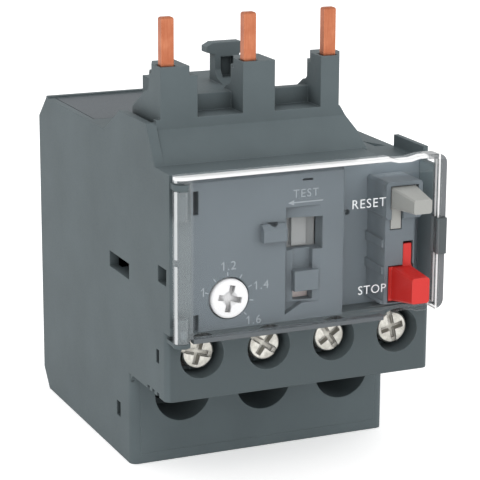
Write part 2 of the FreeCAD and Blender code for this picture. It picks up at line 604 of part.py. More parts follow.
# ---- power path ----------------------------------------------------------------------------------
def line_blade(number):
    """Copper blade with a rounded tip, bent back over the chamber and down to its winding."""
    x = PIN_X[number]
    top = BLADE_X[number]
    half = PIN_W / 2
    blade = block(top - half, top + half, PIN_D[0], PIN_D[1], RUN_Z[0], PIN_TOP)
    blade = round_edges(blade, 0.4, lambda e: e.BoundBox.ZMin > PIN_TOP - 0.01)
    run = block(x - half, x + half, COIL_D[1], PIN_D[1] - 0.2, RUN_Z[0], RUN_Z[1])
    drop = block(x - half, x + half, COIL_D[1], COIL_D[1] + 1.2, coil_top() - 1.2, RUN_Z[1])
    return joined([blade, blade_foot(number), run, drop])


def blade_foot(number):
    """Sideways offset between the run and the standing blade."""
    ends = (PIN_X[number], BLADE_X[number])
    half = PIN_W / 2
    return block(min(ends) - half, max(ends) + half, PIN_D[0] - 2.0, PIN_D[1] - 0.2, RUN_Z[0], RUN_Z[1])


def coil_top():
    return COIL_Z + COIL_PITCH * (COIL_TURNS - 1) + 1.2


def heater_winding(number):
    """Flat resistance ribbon wound round its bimetal strip."""
    x = PIN_X[number]
    turns = []
    for turn in range(COIL_TURNS):
        z = COIL_Z + COIL_PITCH * turn
        ring = block(x - 1.9, x + 1.9, COIL_D[0], COIL_D[1], z, z + 1.2)
        turns.append(ring.cut(block(x - 1.3, x + 1.3, COIL_D[0] + 0.6, COIL_D[1] - 0.6, z - 1, z + 2)))
        if turn < COIL_TURNS - 1:
            side = COIL_D[0] if turn % 2 else COIL_D[1] - 0.6
            turns.append(block(x - 0.9, x + 0.9, side, side + 0.6, z, z + COIL_PITCH + 0.6))
    return joined(turns)


def bimetal_strip(number):
    x = PIN_X[number]
    half = BIMETAL_T / 2
    return block(x - half, x + half, BIMETAL_D[0], BIMETAL_D[1], BIMETAL_Z[0], BIMETAL_Z[1])


def bimetal_carrier():
    """Insulating bar that holds the feet of the three strips and locks on to the back plate."""
    bar = block(-INNER + 0.1, PIN_X[2] + 3.0, 14.0, 27.0, 18.6, 21.6)
    shapes = [bar] + [block(x - 1.5, x + 1.5, WALL, 14.1, 18.6, 21.6) for x in (-11.0, 2.6)]
    slots = [block(x - BIMETAL_T / 2, x + BIMETAL_T / 2, BIMETAL_D[0], BIMETAL_D[1], BIMETAL_Z[0], 22.0)
             for x in PIN_X]
    return less(joined(shapes), slots)


def load_terminal(number):
    """Load bar from the winding down to a steel-cage clamp behind the screw."""
    x = LOAD_X[number]
    px = PIN_X[number]
    face = COIL_D[1]
    top = COIL_Z
    foot = block(px - 0.9, px + 0.9, face, face + 1.1, top - LEAD_T, top + 1.2)
    lead = block(px - 0.9, x + 1.5, face + 1.0, face + 2.2, top - LEAD_T, top)
    link = block(x - 1.5, x + 1.5, face + 1.0, RISER_D + 1.2, top - LEAD_T, top)
    riser = block(x - 1.5, x + 1.5, RISER_D, RISER_D + 1.2, CAGE_Z[1] + 0.4, top)
    shelf = block(x - 1.5, x + 1.5, TONGUE_D, RISER_D + 1.2, CAGE_Z[1] + 0.4, CAGE_Z[1] + 1.6)
    tongue = block(x - 3.2, x + 3.2, TONGUE_D, TONGUE_D + 1.2, CAGE_Z[0] - 0.6, CAGE_Z[1] + 1.6)
    wide = CAGE_W - 0.8
    tie = block(x - wide, x + wide, TONGUE_D, TONGUE_D + 1.2, CAGE_Z[0] + 0.2, CAGE_Z[0] + 1.8)
    cage = block(x - CAGE_W, x + CAGE_W, CAGE_D[0], CAGE_D[1], CAGE_Z[0], CAGE_Z[1])
    cage = cage.cut(block(x - CAGE_W + CAGE_T, x + CAGE_W - CAGE_T, CAGE_D[0] + CAGE_T, CAGE_D[1] - CAGE_T,
                          CAGE_Z[0] - 1, CAGE_Z[1] + 1))
    cage = cage.cut(rod_front(x, LOAD_Z, LOAD_SHANK_R + SCREW_FIT, CAGE_D[1] - CAGE_T - 0.1, CAGE_D[1] + 1))
    return joined([foot, lead, link, riser, shelf, tongue, tie, cage])


def cross_screw(x, z, head_r, head_back, head_front, shank_r, tail, turn):
    """Cheese-head screw with a chamfered rim and a combined slot and tapered cross recess."""
    rim = head_r * 0.1
    head = rod_front(x, z, head_r, head_back, head_front - rim)
    crown = Part.makeCone(head_r, head_r - rim, rim, at(x, head_front - rim, z), Vector(0, -1, 0))
    shank = rod_front(x, z, shank_r, tail, head_back + 0.1)
    wide = head_r * 0.2
    slot = wide * 0.8
    arm = head_r * 0.74
    top = head_front + 0.1
    floor = head_front - wide
    deep = head_front - head_r * 0.36
    taper = [(-wide, top), (wide, top), (wide / 2, deep), (-wide / 2, deep)]
    recess = [block(x - head_r - 1, x + head_r + 1, floor, top, z - slot, z + slot),
              side_prism(x - arm, x + arm, [(depth, z + away) for away, depth in taper]),
              plan_prism(z - arm, z + arm, [(x + away, depth) for away, depth in taper])]
    for cut in recess:
        cut.rotate(at(x, 0, z), Vector(0, 1, 0), turn)
    return less(joined([head, crown, shank]), recess)


def load_screw(number):
    return cross_screw(LOAD_X[number], LOAD_Z, LOAD_HEAD_R, LOAD_SEAT, LOAD_SEAT + LOAD_HEAD_T, LOAD_SHANK_R,
                       TONGUE_D + 1.3, 20.0 + 25.0 * number)


def aux_screw(number):
    return cross_screw(AUX_X[number], AUX_Z, AUX_HEAD_R, AUX_HEAD_D - AUX_HEAD_T, AUX_HEAD_D, AUX_SHANK_R,
                       49.4, 15.0 + 21.0 * number)


def aux_clamp(number):
    """Auxiliary clamp plate under the screw head with its contact leg rising into the mechanism."""
    x = AUX_X[number]
    seat = AUX_HEAD_D - AUX_HEAD_T
    plate = block(x - 1.8, x + 1.8, 54.0, seat, AUX_Z - 1.8, AUX_Z + 1.8)
    nut = block(x - 3.0, x + 3.0, 52.3, 54.1, AUX_Z - 3.0, AUX_Z + 3.0)
    base = block(x - 3.0, x + 3.0, 46.3, 52.4, AUX_Z + 2.2, AUX_Z + 3.0)
    middle = x + (1.0 if number % 2 == 0 else -1.0)
    pad_face = BRIDGE_FRONT + CONTACT_GAP
    left = middle - 1.2
    right = middle + 1.2
    riser = block(left, right, 46.3, 46.9, AUX_Z + 2.2, AUX_TOP + 0.7)
    tail = block(left, right, pad_face + 0.6, 46.7, AUX_TOP + 0.1, AUX_TOP + 0.7)
    leg = block(left, right, pad_face + 0.6, pad_face + 1.2, AUX_TOP + 0.1, BRIDGE_Z + 1.2)
    pad = block(middle - 0.8, middle + 0.8, pad_face, pad_face + 0.7, BRIDGE_Z - 0.8, BRIDGE_Z + 0.8)
    body = joined([plate, nut, base, riser, tail, leg, pad])
    return body.cut(rod_front(x, AUX_Z, AUX_SHANK_R + SCREW_FIT, 48.0, 60.0))


# ---- trip mechanism ------------------------------------------------------------------------------
def comb_bar(z_range, tongue):
    """Slide bar with one long slot for every bimetal tip."""
    bar = block(PIN_X[0] - 1.3, PIN_X[2] + 4.6, BAR_D[0], BAR_D[1], z_range[0], z_range[1])
    slots = [block(x - 0.75, x + 0.7 + TRIP_TRAVEL + 0.3, BIMETAL_D[0] - 0.25, BIMETAL_D[1] + 0.2,
                   z_range[0] - 1, z_range[1] + 1) for x in PIN_X]
    body = less(bar, slots)
    if tongue:
        body = body.fuse(block(4.6, 6.6, BAR_D[1] - 0.1, 44.6, z_range[0], z_range[1])).removeSplitter()
    return body


def trip_lever():
    """Three-armed lever on its post: top arm to the slide tongue, lower arm to the flag."""
    x, z = LEVER_AXIS
    hub = rod_front(x, z, 2.1, 38.0, 46.6)
    up = plan_prism(z + 1.0, TRIP_BAR_Z[1] + 0.6, [(x - 0.2, 41.4), (x + 1.6, 41.4), (x + 1.6, 44.2),
                                                 (x - 0.2, 44.2)])
    nose = block(x + 0.4, 4.2, 41.4, 44.2, TRIP_BAR_Z[0] - 0.6, TRIP_BAR_Z[1] + 0.6)
    down = block(x - 0.8, x + 0.8, 44.4, 46.6, 28.9, z)
    body = joined([hub, up, nose, down])
    return body.cut(rod_front(x, z, 1.0 + TURN_FIT, 37.0, 48.0)).removeSplitter()


def trip_flag():
    """Pale flag plate behind its window with a tail back to the lever."""
    plate = block(-2.0, 2.6, 56.9, 57.7, 28.9, 31.4)
    tail = block(1.8, 2.6, 44.6, 57.0, 28.9, 30.1)
    return plate.fuse(tail).removeSplitter()


def adjust_lever():
    """Hanging arm that follows the dial cam and carries the compensating strip."""
    x, z = ADJUST_AXIS
    hub = rod_front(x, z, 2.0, 48.2, 51.0)
    face = DIAL[0] + CAM_R + 0.6
    arm = front_prism(48.8, 50.4, [(x - 1.4, z), (x + 1.4, z), (x + 1.0, z - 6.0), (face + 2.0, 28.6),
                                   (face, 28.6), (face, 34.4), (x - 1.4, z - 6.0)])
    seat = block(x + 0.4, x + 2.6, 48.8, 50.4, z - 4.6, z - 2.6)
    body = joined([hub, arm, seat])
    return body.cut(rod_front(x, z, 1.0 + TURN_FIT, 47.0, 53.0)).removeSplitter()


def compensating_strip():
    x, z = ADJUST_AXIS
    return block(x + 2.6, x + 3.2, 47.6, 51.6, 31.5, z - 2.6)


def bridge_middles():
    return [(AUX_X[0] + AUX_X[1]) / 2, (AUX_X[2] + AUX_X[3]) / 2]


def contact_bridge(which):
    """Moving contact bar with two tips and a guide stem through the divider."""
    middle = bridge_middles()[which]
    start = BRIDGE_FRONT - (0.0 if which == 0 else -(CONTACT_GAP - 0.1))
    left = AUX_X[2 * which] + 1.0
    right = AUX_X[2 * which + 1] - 1.0
    bar = block(left - 1.3, right + 1.3, start - 1.3, start - 0.5, BRIDGE_Z - 1.1, BRIDGE_Z + 1.1)
    tips = [block(x - 0.8, x + 0.8, start - 0.6, start, BRIDGE_Z - 0.8, BRIDGE_Z + 0.8)
            for x in (left, right)]
    stem = rod_front(middle, BRIDGE_Z, 1.0, start - 7.5, start - 1.2)
    return joined([bar, stem] + tips)


def test_slider():
    """Pale test key: plate behind the window collar, raised grip and a peg towards the slide."""
    plate = block(TEST_X[0] - 0.6, TEST_X[1] - 0.1, TEST_FRONT - 1.0, TEST_FRONT,
                  TEST_Z[0] - 0.5, TEST_Z[1] + 0.5)
    left = TEST_X[0] + TEST_TRAVEL + 0.1
    grip = block(left, left + GRIP_W, TEST_FRONT - 0.1, TEST_FRONT + 0.7, TEST_Z[0] + 0.3, TEST_Z[1] - 0.3)
    peg = rod_front(0.6, 41.4, 0.8, 52.5, TEST_FRONT - 0.9)
    return joined([plate, grip, peg])


def test_spring():
    """Bent leaf that pushes the test key back to the right."""
    left = TEST_X[0] - 0.6
    back = PANEL_D - PANEL_T
    leaf = [(left - 3.2, back), (left - 2.8, back), (left - 2.8, back - 0.5), (left, TEST_FRONT - 0.35),
            (left, TEST_FRONT - 0.7), (left - 3.2, back - 0.8)]
    return plan_prism(38.6, 41.0, leaf)


# ---- cover ---------------------------------------------------------------------------------------
def cover_flap():
    """Clear dished cover: front plate, rims, waved top edge, button opening and hinge barrel."""
    x0 = HINGE[0]
    x1 = HALF
    z0, z1 = COVER_Z
    rim = 0.9
    skin = block(x0, x1, COVER_BACK, COVER_D, z0, z1)
    skin = round_edges(skin, 1.5, lambda e: abs(e.tangentAt(e.FirstParameter).y) > 0.9
                       and e.BoundBox.XMax > x1 - 0.01)
    skin = skin.cut(block(x0 - 1, x1 - rim, COVER_BACK - 1, COVER_D - COVER_WALL, z0 + rim, z1 - rim))
    rim_end = rod_up(HINGE[0], HINGE[1], BARREL_R, z1 - rim, z1)
    start = CUT_X[0]
    wave = front_prism(COVER_BACK - 1, COVER_D + 1,
                       [(start + 0.8, z1 + 1), (start + 0.8, z1), (start + 2.0, z1 - 0.35),
                        (start + 4.2, z1 - 0.35), (start + 6.0, z1 + 0.02), (start + 6.0, z1 + 1)])
    notch = rod_front(start + 3.6, z0 - 4.6, 5.1, COVER_BACK - 1, COVER_D + 1)
    opening = block(CUT_X[0], CUT_X[1], COVER_BACK - 1, COVER_D + 1, CUT_Z[0], CUT_Z[1])
    tab_bed = block(TAB_X, HALF + 1, TAB_D, COVER_D + 1, TAB_Z[0], TAB_Z[1])
    lug_room = rod_up(HINGE[0], HINGE[1], BARREL_R + 0.15, LUG_HIGH[0] - 0.1, LUG_HIGH[1] + 0.1)
    skin = less(skin, [wave, notch, opening, tab_bed, lug_room])
    barrel = rod_up(HINGE[0], HINGE[1], BARREL_R, BARREL_Z[0], BARREL_Z[1])
    bore = PINTLE_R + TURN_FIT
    holes = [rod_up(HINGE[0], HINGE[1], bore, BARREL_Z[0] - 1, LUG_LOW[1] + PINTLE_IN + 0.1),
             rod_up(HINGE[0], HINGE[1], bore, LUG_HIGH[0] - PINTLE_IN - 1.1, BARREL_Z[1] + 1),
             block(HINGE[0] - 2, HINGE[0] - 0.8, HINGE[1], HINGE[1] + 2, 37.6, 38.6)]
    return less(skin.multiFuse([rim_end, barrel]), holes)


def cover_tab():
    """Grey finger tab set into the free edge of the cover."""
    tab = block(TAB_X, HALF, TAB_D, COVER_D + 0.7, TAB_Z[0], TAB_Z[1])
    return round_edges(tab, 0.25, lambda e: abs(e.tangentAt(e.FirstParameter).z) > 0.9
                       and e.BoundBox.YMax < ORIGIN_D - COVER_D)


# ---- write every piece ---------------------------------------------------------------------------
def pieces():
    table = {
        "case_shell": case_shell(),
        "load_shroud": load_shroud(),
        "back_plate": back_plate(),
        "top_label": top_label(),
        "front_panel": front_panel(),
        "button_housing": button_housing(),
        "reset_button": reset_button(),
        "reset_spring": button_spring(0),
        "stop_button": stop_button(),
        "stop_spring": button_spring(1),
        "setting_dial": setting_dial(),
        "dial_cam": dial_cam(),
        "adjust_lever": adjust_lever(),
        "compensating_strip": compensating_strip(),
        "test_slider": test_slider(),
        "test_spring": test_spring(),
        "trip_flag": trip_flag(),
        "trip_lever": trip_lever(),
        "trip_slide": comb_bar(TRIP_BAR_Z, True),
        "release_slide": comb_bar(RELEASE_BAR_Z, False),
        "no_bridge": contact_bridge(0),
        "nc_bridge": contact_bridge(1),
        "bimetal_carrier": bimetal_carrier(),
        "cover_flap": cover_flap(),
        "cover_tab": cover_tab(),
    }
    for number in range(3):
        table["line_blade_%d" % (number + 1)] = line_blade(number)
        table["heater_winding_%d" % (number + 1)] = heater_winding(number)
        table["bimetal_strip_%d" % (number + 1)] = bimetal_strip(number)
        table["load_terminal_%d" % (number + 1)] = load_terminal(number)
        table["load_screw_%d" % (number + 1)] = load_screw(number)
    for number in range(4):
        table["aux_clamp_%d" % (number + 1)] = aux_clamp(number)
        table["aux_screw_%d" % (number + 1)] = aux_screw(number)
    return table


os.makedirs("parts", exist_ok=True)
for name, shape in sorted(pieces().items()):
    shape.exportStep("parts/%s.step" % name)
    box = shape.BoundBox
    print("%-20s solids %d  volume %9.2f  x %6.2f %6.2f  y %6.2f %6.2f  z %6.2f %6.2f  valid %s" % (
        name, len(shape.Solids), shape.Volume, box.XMin, box.XMax, box.YMin, box.YMax, box.ZMin, box.ZMax,
        shape.isValid()))
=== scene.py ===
# %% [markdown]
# # A three-pole thermal overload relay
# The relay guards a motor.  Three copper blades plug up into a contactor, three deep wells at the foot
# hold the motor terminals, and four small screws clamp the control wires.  A hinged clear cover lies
# over the setting dial and the test key, with a cut-out for the grey and the red button.
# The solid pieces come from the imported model, in metres, with +Z up and the front towards -Y.
# This lesson dresses them: it gives each one its finish and adds the printed marks.

# %% Load the fixed frame
import bpy
import json
import math
from mathutils import Euler, Matrix, Vector


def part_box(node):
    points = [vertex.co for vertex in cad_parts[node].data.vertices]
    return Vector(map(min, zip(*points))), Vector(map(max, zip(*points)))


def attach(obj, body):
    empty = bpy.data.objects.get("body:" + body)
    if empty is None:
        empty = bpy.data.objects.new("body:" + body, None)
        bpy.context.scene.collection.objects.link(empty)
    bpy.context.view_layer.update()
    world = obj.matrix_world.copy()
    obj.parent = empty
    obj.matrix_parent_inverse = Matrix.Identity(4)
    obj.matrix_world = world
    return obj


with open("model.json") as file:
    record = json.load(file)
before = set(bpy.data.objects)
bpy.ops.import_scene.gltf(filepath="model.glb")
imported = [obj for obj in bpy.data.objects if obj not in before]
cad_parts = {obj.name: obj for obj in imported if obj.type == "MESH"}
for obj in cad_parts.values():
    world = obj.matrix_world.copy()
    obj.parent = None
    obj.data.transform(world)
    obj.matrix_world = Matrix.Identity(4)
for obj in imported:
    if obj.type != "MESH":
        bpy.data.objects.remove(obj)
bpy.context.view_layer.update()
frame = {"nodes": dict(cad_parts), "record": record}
nodes = frame["nodes"]
MM = 0.001

# %% [markdown]
# ## Measuring on the real pieces
# The places below start from pieces of the model, so a mark or a change of tone stays where it belongs.
# A printed mark needs only two facts: the plane it lies on, and its place on that plane.

# %% Measuring helpers
def low(name):
    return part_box(name)[0]


def high(name):
    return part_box(name)[1]


PANEL_DEPTH = 60.0 * MM        # from the back of the case to the front of the panel
COVER_DEPTH = 63.0 * MM        # and to the front of the clear cover
COVER_HEIGHT = 24.8 * MM
BLOCK_HEIGHT = 11.0 * MM       # front of the auxiliary terminal block
RECESS_WIDTH = 16.1 * MM       # button recess, from its left side to the right side of the case

BACK = high("case_shell").y
PANEL_FACE = BACK - PANEL_DEPTH
COVER_FACE = BACK - COVER_DEPTH
dial_low, dial_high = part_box("setting_dial")
DIAL_X = (dial_low.x + dial_high.x) / 2
DIAL_Z = (dial_low.z + dial_high.z) / 2
DIAL_R = (dial_high.x - dial_low.x) / 2
BLOCK_TOP = high("cover_flap").z - COVER_HEIGHT
BLOCK_LOW = BLOCK_TOP - BLOCK_HEIGHT
RECESS_LEFT = high("case_shell").x - RECESS_WIDTH
print("dial centre", round(DIAL_X / MM, 2), round(DIAL_Z / MM, 2), "radius", round(DIAL_R / MM, 2), "mm")

# %% [markdown]
# ## Wiring shader nodes in a script
# Each finish is a small network of nodes.  A few helpers keep the cells short: they add a node, link two
# sockets, do one step of maths, move a value from one range to another and blend two colours.  A number
# that is the same all over a surface is written straight into the shader's own socket.

# %% Node helpers
def add(tree, kind, **values):
    """A node of one kind; values fill sockets by name, or properties where no socket has that name."""
    made = tree.nodes.new(kind)
    for key, value in values.items():
        name = key.replace("_", " ")
        if name in made.inputs:
            made.inputs[name].default_value = value
        else:
            setattr(made, key, value)
    return made


def link(tree, source, target):
    tree.links.new(source, target)


def maths(tree, operation, first, second=0.5, clamp=False):
    made = tree.nodes.new("ShaderNodeMath")
    made.operation = operation
    made.use_clamp = clamp
    for place, value in enumerate((first, second)):
        if isinstance(value, (int, float)):
            made.inputs[place].default_value = value
        else:
            link(tree, value, made.inputs[place])
    return made.outputs[0]


def product(tree, *values):
    """Several masks multiplied: the result is 1 only where all of them are 1."""
    total = values[0]
    for value in values[1:]:
        total = maths(tree, "MULTIPLY", total, value)
    return total


def largest(tree, *values):
    """The strongest of several masks at each spot."""
    total = values[0]
    for value in values[1:]:
        total = maths(tree, "MAXIMUM", total, value)
    return total


def spread(tree, value, low_in, high_in, low_out, high_out):
    """Move a value from one range into another, without passing its ends."""
    made = add(tree, "ShaderNodeMapRange", clamp=True)
    for place, number in enumerate((low_in, high_in, low_out, high_out), start=1):
        made.inputs[place].default_value = number
    link(tree, value, made.inputs[0])
    return made.outputs[0]


def mix(tree, share, first, second):
    """Blend two colours; each one is a colour or a socket."""
    made = tree.nodes.new("ShaderNodeMix")
    made.data_type = "RGBA"
    for place, value in ((6, first), (7, second)):
        if isinstance(value, (tuple, list)):
            made.inputs[place].default_value = value
        else:
            link(tree, value, made.inputs[place])
    if isinstance(share, (int, float)):
        made.inputs[0].default_value = share
    else:
        link(tree, share, made.inputs[0])
    return made.outputs[2]


def scaled(colour, factor):
    """A colour made darker or lighter by one factor."""
    return tuple(min(1.0, c * factor) for c in colour[:3]) + (1.0,)


def rgb(red, green, blue):
    """Colour as an eye reads it, 0 to 255, turned into the linear value that light uses."""
    def linear(c):
        c = c / 255
        return c / 12.92 if c <= 0.04045 else ((c + 0.055) / 1.055) ** 2.4
    return (linear(red), linear(green), linear(blue), 1.0)


CASE_GREY = rgb(94, 104, 107)
print("grey of the case, linear:", [round(v, 3) for v in CASE_GREY[:3]])

# %% [markdown]
# ## Effects that several finishes share
# A group of nodes is built once and used in many materials, each time with its own numbers.
# Moulded plastic has a fine spark-eroded grain, a colour that drifts a little over a wall, and edges
# that are softer and paler than the faces.  Turned and stamped metal has fine streaks.  Both get
# painted shade where they are closed in, as in wells, slots and corners.

# %% Shared groups
def new_group(name, inputs, outputs):
    """An empty group with named sockets: inputs are (name, type, value), outputs are (name, type)."""
    tree = bpy.data.node_groups.new(name, "ShaderNodeTree")
    for title, kind, value in inputs:
        socket = tree.interface.new_socket(title, in_out="INPUT", socket_type=kind)
        if value is not None:
            socket.default_value = value
    for title, kind in outputs:
        tree.interface.new_socket(title, in_out="OUTPUT", socket_type=kind)
    return tree, tree.nodes.new("NodeGroupInput"), tree.nodes.new("NodeGroupOutput")


def moulded_grain():
    """Spark-eroded grain: a fine cell pattern over a slow drift.  Scales are in cells per metre."""
    tree, given, result = new_group(
        "moulded_grain",
        [("Grain Scale", "NodeSocketFloat", 4200.0), ("Drift Scale", "NodeSocketFloat", 90.0)],
        [("Height", "NodeSocketFloat"), ("Drift", "NodeSocketFloat")])
    place = add(tree, "ShaderNodeTexCoord")
    fine = add(tree, "ShaderNodeTexNoise", Detail=3.0, Roughness=0.6)
    cells = add(tree, "ShaderNodeTexVoronoi", feature="SMOOTH_F1")
    drift = add(tree, "ShaderNodeTexNoise", Detail=4.0, Roughness=0.55)
    for texture in (fine, cells, drift):
        link(tree, place.outputs["Object"], texture.inputs["Vector"])
    link(tree, given.outputs["Grain Scale"], fine.inputs["Scale"])
    link(tree, given.outputs["Grain Scale"], cells.inputs["Scale"])
    link(tree, given.outputs["Drift Scale"], drift.inputs["Scale"])
    link(tree, product(tree, fine.outputs["Fac"], cells.outputs["Distance"]), result.inputs["Height"])
    link(tree, drift.outputs["Fac"], result.inputs["Drift"])
    return tree


def soft_edge():
    """Rounded edge: the normal turned across it, and a mask that is 1 on the edge itself."""
    tree, given, result = new_group("soft_edge", [("Radius", "NodeSocketFloat", 0.0003)],
                                    [("Normal", "NodeSocketVector"), ("Mask", "NodeSocketFloat")])
    bevel = add(tree, "ShaderNodeBevel", samples=4)
    link(tree, given.outputs["Radius"], bevel.inputs["Radius"])
    face = add(tree, "ShaderNodeNewGeometry")
    dot = add(tree, "ShaderNodeVectorMath", operation="DOT_PRODUCT")
    link(tree, bevel.outputs["Normal"], dot.inputs[0])
    link(tree, face.outputs["Normal"], dot.inputs[1])
    link(tree, bevel.outputs["Normal"], result.inputs["Normal"])
    link(tree, spread(tree, dot.outputs["Value"], 0.72, 0.985, 1.0, 0.0), result.inputs["Mask"])
    return tree


def metal_streaks():
    """Long thin streaks along one axis, as drawing, turning or stamping leaves them."""
    tree, given, result = new_group(
        "metal_streaks",
        [("Stretch", "NodeSocketVector", (1.0, 1.0, 1.0)), ("Scale", "NodeSocketFloat", 900.0)],
        [("Streak", "NodeSocketFloat"), ("Blotch", "NodeSocketFloat")])
    place = add(tree, "ShaderNodeTexCoord")
    stretched = add(tree, "ShaderNodeVectorMath", operation="MULTIPLY")
    link(tree, place.outputs["Object"], stretched.inputs[0])
    link(tree, given.outputs["Stretch"], stretched.inputs[1])
    fine = add(tree, "ShaderNodeTexNoise", Detail=5.0, Roughness=0.65)
    blotch = add(tree, "ShaderNodeTexNoise", Scale=420.0, Detail=3.0)
    link(tree, stretched.outputs["Vector"], fine.inputs["Vector"])
    link(tree, given.outputs["Scale"], fine.inputs["Scale"])
    link(tree, place.outputs["Object"], blotch.inputs["Vector"])
    link(tree, fine.outputs["Fac"], result.inputs["Streak"])
    link(tree, blotch.outputs["Fac"], result.inputs["Blotch"])
    return tree


def cavity():
    """How closed in a spot is, 0 to 1, from ambient occlusion: painted shade that darkens corners, slots
    and wells.
    """
    tree, given, result = new_group(
        "cavity",
        [("Reach", "NodeSocketFloat", 0.002), ("Full", "NodeSocketFloat", 0.4)],
        [("Mask", "NodeSocketFloat")])
    look = add(tree, "ShaderNodeAmbientOcclusion", samples=6, only_local=True)
    link(tree, given.outputs["Reach"], look.inputs["Distance"])
    closed = spread(tree, look.outputs["AO"], 0.25, 0.9, 1.0, 0.0)
    link(tree, product(tree, closed, given.outputs["Full"]), result.inputs["Mask"])
    return tree


GRAIN = moulded_grain()
EDGE = soft_edge()
STREAKS = metal_streaks()
CAVITY = cavity()
print("groups:", [tree.name for tree in (GRAIN, EDGE, STREAKS, CAVITY)])

# %% [markdown]
# ## Two recipes
# Nearly every piece is moulded plastic or bare metal.  Twenty materials could be wired one by one, but
# then a change to the grain means twenty edits.  Two recipes take a colour, a roughness and the size of
# the texture instead, and build each material from the shared groups.

# %% Two recipes: plastic and metal
def blank_material(name):
    material = bpy.data.materials.new(name)
    material.use_nodes = True
    tree = material.node_tree
    return material, tree, tree.nodes["Principled BSDF"]


def place_group(tree, group, **values):
    made = tree.nodes.new("ShaderNodeGroup")
    made.node_tree = group
    for key, value in values.items():
        made.inputs[key.replace("_", " ")].default_value = value
    return made


def relief(tree, shader, height, edge, strength, distance):
    """A bump made from a height, over edges that are turned soft."""
    bump = add(tree, "ShaderNodeBump", Strength=strength, Distance=distance)
    link(tree, height, bump.inputs["Height"])
    link(tree, edge.outputs["Normal"], bump.inputs["Normal"])
    link(tree, bump.outputs["Normal"], shader.inputs["Normal"])


CAVITY_SHADE_SHARE = 0.15      # what is left of a plastic's colour under the full painted shade of a well or corner
SHADE_SHARE = 0.78     # and in a darker zone
PALE_SHARE = 2.4       # a paler zone goes this far when its mask is 1; it is painted light, except on the sill below the fascia
PLASTIC_GRAIN = 0.04 * MM
METAL_GRAIN = 0.03 * MM
METAL_REACH = 1.2 * MM


def plastic(name, colour, edge_colour, rough=0.5, grain=4200.0, depth=0.35, drift=0.08, radius=0.00025,
            specular=0.2, cavity_shade=0.4, reach=0.002, zones=None):
    """Moulded plastic: base colour that drifts, grain in the bump, paler soft edges, painted shade in
    corners.

    `zones` may give three masks by place: where the painted corner shade is cut, a darker area, and a paler
    one that is painted light except on the sill."""
    material, tree, shader = blank_material(name)
    texture = place_group(tree, GRAIN, Grain_Scale=grain)
    edge = place_group(tree, EDGE, Radius=radius)
    share = spread(tree, texture.outputs["Drift"], 0.3, 0.7, 0.0, 1.0)
    body = mix(tree, share, scaled(colour, 1 - drift), scaled(colour, 1 + drift))
    # painted shade in corners, slots and wells, from ambient occlusion
    cavity_shade_mask = place_group(tree, CAVITY, Reach=reach, Full=cavity_shade).outputs["Mask"]
    # zones cut the painted corner shade, darken one area and add painted light to another
    if zones:
        shade_cut, shade, pale = zones(tree)
        cavity_shade_mask = product(tree, cavity_shade_mask, maths(tree, "SUBTRACT", 1.0, shade_cut))
        body = mix(tree, shade, body, scaled(colour, SHADE_SHARE))
        body = mix(tree, pale, body, scaled(colour, PALE_SHARE))
    body = mix(tree, cavity_shade_mask, body, scaled(colour, CAVITY_SHADE_SHARE))
    link(tree, mix(tree, edge.outputs["Mask"], body, edge_colour), shader.inputs["Base Color"])
    height = texture.outputs["Height"]
    link(tree, spread(tree, height, 0.0, 0.5, rough - 0.06, rough + 0.1), shader.inputs["Roughness"])
    relief(tree, shader, height, edge, depth, PLASTIC_GRAIN)
    shader.inputs["Specular IOR Level"].default_value = specular
    return material


def metal(name, colour, dull, rough=0.25, stretch=(1.0, 1.0, 0.08), scale=5000.0, depth=0.2, radius=0.0002,
          cavity_shade=0.5, cavity_shade_colour=rgb(34, 33, 30)):
    """Bare or plated metal: streaks in colour, roughness and bump, a duller tone in blotches."""
    material, tree, shader = blank_material(name)
    texture = place_group(tree, STREAKS, Stretch=stretch, Scale=scale)
    edge = place_group(tree, EDGE, Radius=radius)
    streak = texture.outputs["Streak"]
    share = product(tree, texture.outputs["Blotch"], streak)
    body = mix(tree, spread(tree, share, 0.1, 0.45, 0.0, 1.0), dull, colour)
    # painted shade in corners, slots and wells, from ambient occlusion
    cavity_shade_mask = place_group(tree, CAVITY, Reach=METAL_REACH, Full=cavity_shade).outputs["Mask"]
    body = mix(tree, cavity_shade_mask, body, cavity_shade_colour)
    link(tree, mix(tree, edge.outputs["Mask"], body, scaled(colour, 1.25)), shader.inputs["Base Color"])
    link(tree, spread(tree, streak, 0.25, 0.75, rough - 0.06, rough + 0.14), shader.inputs["Roughness"])
    # where the painted shade lies, the metal is made less metallic
    link(tree, spread(tree, cavity_shade_mask, 0.2, 0.9, 1.0, 0.15), shader.inputs["Metallic"])
    relief(tree, shader, streak, edge, depth, METAL_GRAIN)
    return material


print("recipes: plastic, metal")

# %% [markdown]
# ## Zones
# One moulding is not one tone.  Behind the cover the painted corner shade is cut and the recess is
# painted lighter; the front of the terminal block is darker.  The faces could get separate materials, but
# then the tone would stop at an edge of the mesh.  A zone is a mask made from a spot's place on the object
# and from the way it faces, so it can end anywhere and fade.

# %% Zones by place
def where(tree):
    """Object place and normal of a spot, each split into X, Y and Z."""
    place = add(tree, "ShaderNodeTexCoord")
    spot = add(tree, "ShaderNodeSeparateXYZ")
    turned = add(tree, "ShaderNodeSeparateXYZ")
    link(tree, place.outputs["Object"], spot.inputs[0])
    link(tree, place.outputs["Normal"], turned.inputs[0])
    return spot.outputs, turned.outputs


def above(tree, value, start, soft, full=1.0):
    """0 below a place, `full` above it, over a short soft step."""
    return spread(tree, value, start, start + soft, 0.0, full)


def below(tree, value, start, soft):
    """1 below a place, 0 above it, over a short soft step."""
    return spread(tree, value, start, start + soft, 1.0, 0.0)


